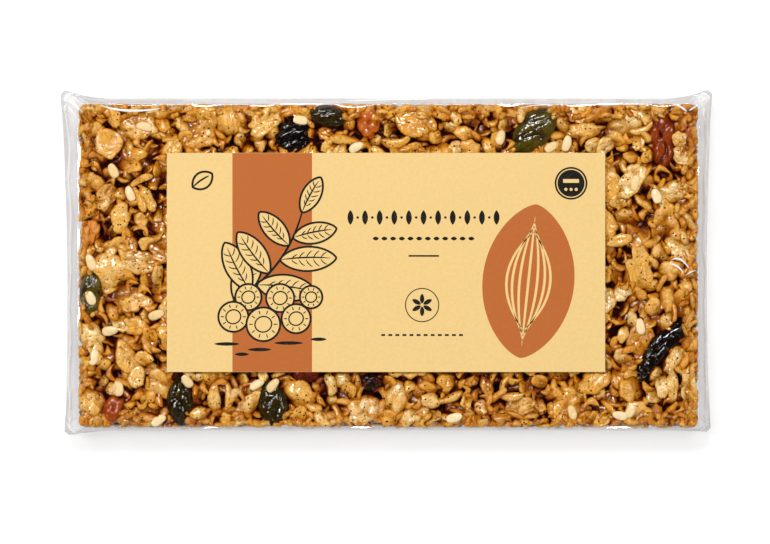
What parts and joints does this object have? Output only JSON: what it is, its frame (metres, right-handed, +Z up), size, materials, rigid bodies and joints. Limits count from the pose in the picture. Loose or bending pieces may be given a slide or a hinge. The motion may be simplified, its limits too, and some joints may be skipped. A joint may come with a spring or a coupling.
{
  "type": "granola bar in a clear film pack",
  "caption": "Thick rectangular bar of oat flakes, rice crisps, seeds, nuts and dried fruit, sealed in clear film with eared corners and a plain paper label on its face.",
  "frame": {"origin": "on the ground under the middle of the pack", "axes": "+X along the bar, +Y across it towards the edge with the larger ears, +Z up out of the labelled face"},
  "size_m": [0.14, 0.074, 0.016],
  "materials": {
    "granola": "syrup-glazed oats and crisps under tight clear film",
    "label_paper": "matt uncoated paper",
    "pumpkin_seed": "dark green glazed seed coat",
    "dark_fruit": "black-red wrinkled fruit skin, glazed",
    "date": "brown to orange fruit flesh, glazed",
    "pecan": "red-brown kernel skin, glazed"
  },
  "bodies": {
    "root": {"clear_pack": "granola", "label": "label_paper", "pumpkin_seed_1": "pumpkin_seed", "pumpkin_seed_2": "pumpkin_seed", "pumpkin_seed_3": "pumpkin_seed", "pumpkin_seed_4": "pumpkin_seed", "pumpkin_seed_5": "pumpkin_seed", "cherry_1": "dark_fruit", "cherry_2": "dark_fruit", "cherry_3": "dark_fruit", "date_1": "date", "date_2": "date", "date_3": "date", "date_4": "date", "pecan_1": "pecan", "pecan_2": "pecan"}
  },
  "joints": []
}
